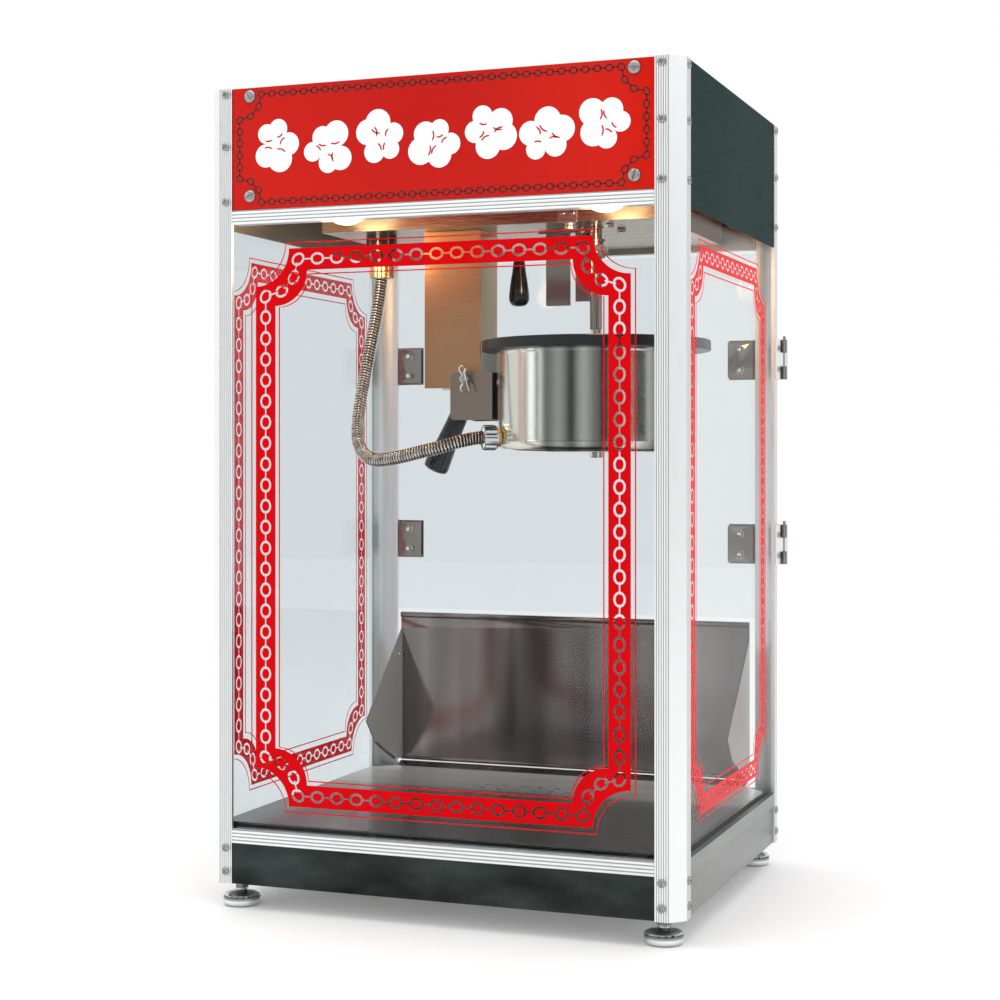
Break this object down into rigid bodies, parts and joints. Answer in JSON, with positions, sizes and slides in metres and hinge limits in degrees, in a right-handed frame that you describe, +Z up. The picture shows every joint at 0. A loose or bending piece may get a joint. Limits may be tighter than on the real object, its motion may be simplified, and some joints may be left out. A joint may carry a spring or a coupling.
{
  "type": "popcorn maker",
  "caption": "Countertop popcorn machine: glazed aluminium cabinet with a lit header sign, a tipping kettle with agitator, rear doors, a tilting serving chute and a crumb drawer.",
  "frame": {"origin": "centre of the footprint, on the surface that the feet stand on", "axes": "+X to the right seen from the customer's side, +Y to the operator's side, +Z up"},
  "size_m": [0.523, 0.44, 0.847],
  "materials": {
    "aluminium": "satin anodised extrusion",
    "brushed_steel": "brushed stainless sheet",
    "dark_steel": "brushed stainless sheet in shade",
    "polished_steel": "fine brushed, near polished stainless",
    "chrome": "bright plated",
    "kettle_lid": "dark anodised, satin",
    "black_plastic": "glossy moulded",
    "red_acrylic": "gloss printed acrylic",
    "clear_panel": "clear polished",
    "lamp_glass": "lit warm frosted globe",
    "ceramic": "glazed lamp holder"
  },
  "bodies": {
    "root": {"post_front_left": "aluminium", "post_front_right": "aluminium", "post_rear_left": "aluminium", "post_rear_right": "aluminium", "rail_front_lower": "aluminium", "rail_front_upper": "aluminium", "rail_rear_lower": "aluminium", "rail_rear_upper": "aluminium", "sill_left": "brushed_steel", "sill_right": "brushed_steel", "skirt_rear": "brushed_steel", "base_plate": "brushed_steel", "header_rear": "brushed_steel", "roof": "brushed_steel", "drive_box": "brushed_steel", "kettle_hanger": "brushed_steel", "lift_bracket": "brushed_steel", "skirt_front": "dark_steel", "deck": "dark_steel", "header_left": "dark_steel", "header_right": "dark_steel", "gear_motor": "dark_steel", "conduit": "polished_steel", "foot_front_left": "chrome", "foot_front_right": "chrome", "foot_rear_left": "chrome", "foot_rear_right": "chrome", "conduit_gland": "chrome", "power_inlet": "black_plastic", "sign_panel": "red_acrylic", "glass_front": "clear_panel", "glass_left": "clear_panel", "glass_right": "clear_panel", "bulb_left": "lamp_glass", "bulb_right": "lamp_glass", "lamp_holder_left": "ceramic", "lamp_holder_right": "ceramic"},
    "kettle": {"kettle_drum": "polished_steel", "kettle_lid": "kettle_lid", "kettle_yoke": "brushed_steel", "pivot_pin": "chrome", "dump_handle": "black_plastic", "kettle_connector": "chrome"},
    "lid_flap": {"lid_flap": "kettle_lid"},
    "agitator": {"agitator": "polished_steel"},
    "lift_carriage": {"lift_collar": "chrome"},
    "drive": {"drive_shaft": "polished_steel"},
    "lift_lever": {"lift_lever": "brushed_steel", "lever_knob": "black_plastic"},
    "door_left": {"door_left": "clear_panel", "hinge_left_lower": "brushed_steel", "hinge_left_upper": "brushed_steel"},
    "door_right": {"door_right": "clear_panel", "hinge_right_lower": "brushed_steel", "hinge_right_upper": "brushed_steel"},
    "chute": {"serving_chute": "brushed_steel"},
    "drawer": {"crumb_drawer": "brushed_steel"},
    "switch_heat": {"switch_heat": "black_plastic"},
    "switch_motor": {"switch_motor": "black_plastic"},
    "switch_lights": {"switch_lights": "red_acrylic"}
  },
  "joints": [
    {"name": "kettle_tilt", "type": "hinge", "parent": "root", "child": "kettle", "pos_m": [-0.029, 0, 0.5515], "axis": [0, 1, 0], "range_deg": [0, 90], "deforming": ["conduit"]},
    {"name": "lid_flap_open", "type": "hinge", "parent": "kettle", "child": "lid_flap", "pos_m": [0.1195, 0, 0.5908], "axis": [0, -1, 0], "range_deg": [0, 80]},
    {"name": "agitator_spin", "type": "hinge", "parent": "kettle", "child": "agitator", "pos_m": [0.106, -0.025, 0.49], "axis": [0, 0, 1], "continuous": true},
    {"name": "lift_lever_tilt", "type": "hinge", "parent": "root", "child": "lift_lever", "pos_m": [0.078, 0, 0.689], "axis": [0, -1, 0], "range_deg": [0, 22]},
    {"name": "shaft_lift", "type": "slide", "parent": "root", "child": "lift_carriage", "axis": [0, 0, 1], "range_m": [0, 0.0125]},
    {"name": "drive_spin", "type": "hinge", "parent": "lift_carriage", "child": "drive", "pos_m": [0.106, -0.025, 0.7], "axis": [0, 0, 1], "continuous": true},
    {"name": "door_left_swing", "type": "hinge", "parent": "root", "child": "door_left", "pos_m": [-0.258, 0.2165, 0.47], "axis": [0, 0, 1], "range_deg": [0, 110]},
    {"name": "door_right_swing", "type": "hinge", "parent": "root", "child": "door_right", "pos_m": [0.258, 0.2165, 0.47], "axis": [0, 0, 1], "range_deg": [-110, 0]},
    {"name": "chute_tilt", "type": "hinge", "parent": "root", "child": "chute", "pos_m": [0, 0.204, 0.095], "axis": [-1, 0, 0], "range_deg": [0, 44]},
    {"name": "drawer_slide", "type": "slide", "parent": "root", "child": "drawer", "axis": [0, 1, 0], "range_m": [0, 0.2]},
    {"name": "switch_heat_rock", "type": "hinge", "parent": "root", "child": "switch_heat", "pos_m": [0.03, 0.206, 0.784], "axis": [1, 0, 0], "range_deg": [-14, 0]},
    {"name": "switch_motor_rock", "type": "hinge", "parent": "root", "child": "switch_motor", "pos_m": [0.08, 0.206, 0.784], "axis": [1, 0, 0], "range_deg": [-14, 0]},
    {"name": "switch_lights_rock", "type": "hinge", "parent": "root", "child": "switch_lights", "pos_m": [0.13, 0.206, 0.784], "axis": [1, 0, 0], "range_deg": [-14, 0]}
  ],
  "couplings": [
    {"joint": "shaft_lift", "follows": "lift_lever_tilt", "m_per_rad": 0.0315},
    {"joint": "agitator_spin", "follows": "drive_spin", "ratio": 1}
  ]
}
